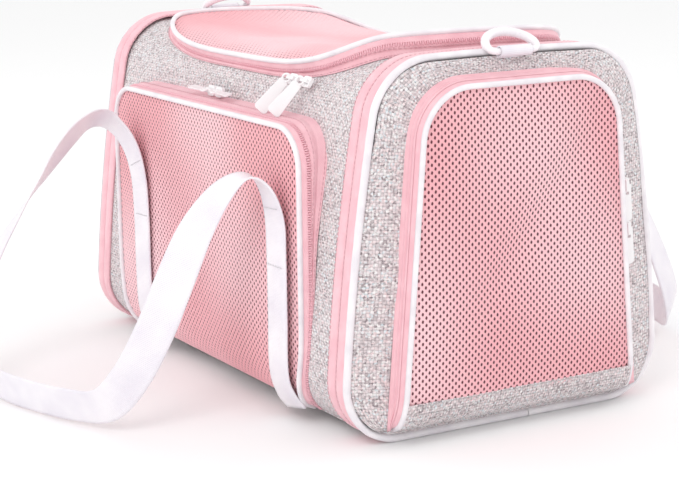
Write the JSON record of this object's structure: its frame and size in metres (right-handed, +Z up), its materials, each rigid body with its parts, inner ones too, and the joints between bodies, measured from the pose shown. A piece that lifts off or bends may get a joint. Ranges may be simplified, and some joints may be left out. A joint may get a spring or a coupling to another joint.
{
  "type": "pet carrier bag",
  "caption": "Soft-sided pet carrier with sprung end hoops, zip-open mesh doors on the front, top and one end, mesh windows on the other sides, two webbing handles and strap rings.",
  "frame": {"origin": "middle of the base panel's underside, on the ground", "axes": "+X along the length, from the sewn end window to the end door; -Y towards the front door; +Z up"},
  "size_m": [0.4598, 0.6044, 0.2794],
  "materials": {
    "white_piping": "smooth white synthetic leather piping",
    "spring_steel": "bare spring steel wire",
    "pink_tape": "pale pink woven nylon zip and binding tape",
    "glitter_fabric": "pale silver grey cloth with a fine glitter",
    "board": "black stiffening board",
    "fleece": "off-white fleece",
    "pink_mesh": "pink punched mesh with a faint sheen",
    "white_metal": "white enamelled die-cast zinc",
    "white_plastic": "white moulded plastic",
    "pearl_webbing": "pearl white webbing with a satin sheen"
  },
  "bodies": {
    "bag": {"back_handle": "pearl_webbing", "back_panel": "glitter_fabric", "back_window_mesh": "pink_mesh", "back_window_piping": "white_piping", "base_board": "board", "base_panel": "glitter_fabric", "bed_pad": "fleece", "d_ring_loop_far": "pearl_webbing", "d_ring_loop_near": "pearl_webbing", "end_zip_tape": "pink_tape", "far_end_panel": "glitter_fabric", "far_window_mesh": "pink_mesh", "far_window_piping": "white_piping", "front_handle": "pearl_webbing", "front_panel": "glitter_fabric", "front_zip_tape": "pink_tape", "hoop_binding_far": "pink_tape", "hoop_binding_near": "pink_tape", "hoop_piping_far": "white_piping", "hoop_piping_near": "white_piping", "hoop_wire_far": "spring_steel", "hoop_wire_near": "spring_steel", "near_end_panel": "glitter_fabric", "top_panel": "glitter_fabric", "top_zip_tape": "pink_tape"},
    "front_door": {"front_door_mesh": "pink_mesh", "front_door_piping": "white_piping", "front_door_gusset": "pink_tape"},
    "end_door": {"end_door_mesh": "pink_mesh", "end_door_kick_strip": "glitter_fabric", "end_door_piping": "white_piping", "end_door_gusset": "pink_tape"},
    "top_door": {"top_door_mesh": "pink_mesh", "top_door_piping": "white_piping", "top_door_gusset": "pink_tape"},
    "slider_front_left": {"front_slider_left": "white_metal"},
    "pull_front_left": {"front_pull_left": "white_metal"},
    "slider_front_right": {"front_slider_right": "white_metal"},
    "pull_front_right": {"front_pull_right": "white_metal"},
    "slider_top_left": {"top_slider_left": "white_metal"},
    "pull_top_left": {"top_pull_left": "white_metal"},
    "slider_top_right": {"top_slider_right": "white_metal"},
    "pull_top_right": {"top_pull_right": "white_metal"},
    "slider_end_upper": {"end_slider_upper": "white_metal"},
    "pull_end_upper": {"end_pull_upper": "white_metal"},
    "slider_end_lower": {"end_slider_lower": "white_metal"},
    "pull_end_lower": {"end_pull_lower": "white_metal"},
    "ring_near": {"d_ring_near": "white_plastic"},
    "ring_far": {"d_ring_far": "white_plastic"}
  },
  "joints": [
    {"name": "front_door_hinge", "type": "hinge", "parent": "bag", "child": "front_door", "pos_m": [0, -0.11704, 0.0115], "axis": [1, 0, 0], "range_deg": [0, 72], "deforming": ["front_handle"]},
    {"name": "end_door_hinge", "type": "hinge", "parent": "bag", "child": "end_door", "pos_m": [0.2189, 0, 0.0115], "axis": [0, 1, 0], "range_deg": [0, 75]},
    {"name": "top_door_hinge", "type": "hinge", "parent": "bag", "child": "top_door", "pos_m": [0, 0.10684, 0.25098], "axis": [-1, 0, 0], "range_deg": [0, 120]},
    {"name": "front_zip_left", "type": "slide", "parent": "bag", "child": "slider_front_left", "axis": [-1, 0, 0], "range_m": [0, 0.105]},
    {"name": "front_zip_right", "type": "slide", "parent": "bag", "child": "slider_front_right", "axis": [1, 0, 0], "range_m": [0, 0.12]},
    {"name": "top_zip_left", "type": "slide", "parent": "bag", "child": "slider_top_left", "axis": [-1, 0, 0], "range_m": [0, 0.2]},
    {"name": "top_zip_right", "type": "slide", "parent": "bag", "child": "slider_top_right", "axis": [-1, 0, 0], "range_m": [0, 0.008]},
    {"name": "end_zip_upper", "type": "slide", "parent": "bag", "child": "slider_end_upper", "axis": [0, -0.0756, 0.9971], "range_m": [0, 0.048]},
    {"name": "end_zip_lower", "type": "slide", "parent": "bag", "child": "slider_end_lower", "axis": [0, 0.0756, -0.9971], "range_m": [0, 0.085]},
    {"name": "front_pull_left_swing", "type": "hinge", "parent": "slider_front_left", "child": "pull_front_left", "pos_m": [-0.0185, -0.1151, 0.2222], "axis": [0, 0.1758, 0.9844], "range_deg": [0, 100]},
    {"name": "front_pull_right_swing", "type": "hinge", "parent": "slider_front_right", "child": "pull_front_right", "pos_m": [-0.0055, -0.1151, 0.2222], "axis": [0, -0.1758, -0.9844], "range_deg": [0, 100]},
    {"name": "top_pull_left_swing", "type": "hinge", "parent": "slider_top_left", "child": "pull_top_left", "pos_m": [0.102, -0.11082, 0.24371], "axis": [-1, 0, 0], "range_deg": [0, 100]},
    {"name": "top_pull_right_swing", "type": "hinge", "parent": "slider_top_right", "child": "pull_top_right", "pos_m": [0.122, -0.11082, 0.24371], "axis": [-1, 0, 0], "range_deg": [0, 100]},
    {"name": "end_pull_upper_swing", "type": "hinge", "parent": "slider_end_upper", "child": "pull_end_upper", "pos_m": [0.2261, 0.09464, 0.163], "axis": [0, -0.9971, -0.0756], "range_deg": [0, 100]},
    {"name": "end_pull_lower_swing", "type": "hinge", "parent": "slider_end_lower", "child": "pull_end_lower", "pos_m": [0.2261, 0.09707, 0.131], "axis": [0, -0.9971, -0.0756], "range_deg": [0, 100]},
    {"name": "near_ring_swing", "type": "hinge", "parent": "bag", "child": "ring_near", "pos_m": [0.2212, 0, 0.2658], "axis": [0, 1, 0], "range_deg": [0, 125]},
    {"name": "far_ring_swing", "type": "hinge", "parent": "bag", "child": "ring_far", "pos_m": [-0.2212, 0, 0.2658], "axis": [0, -1, 0], "range_deg": [0, 125]}
  ]
}
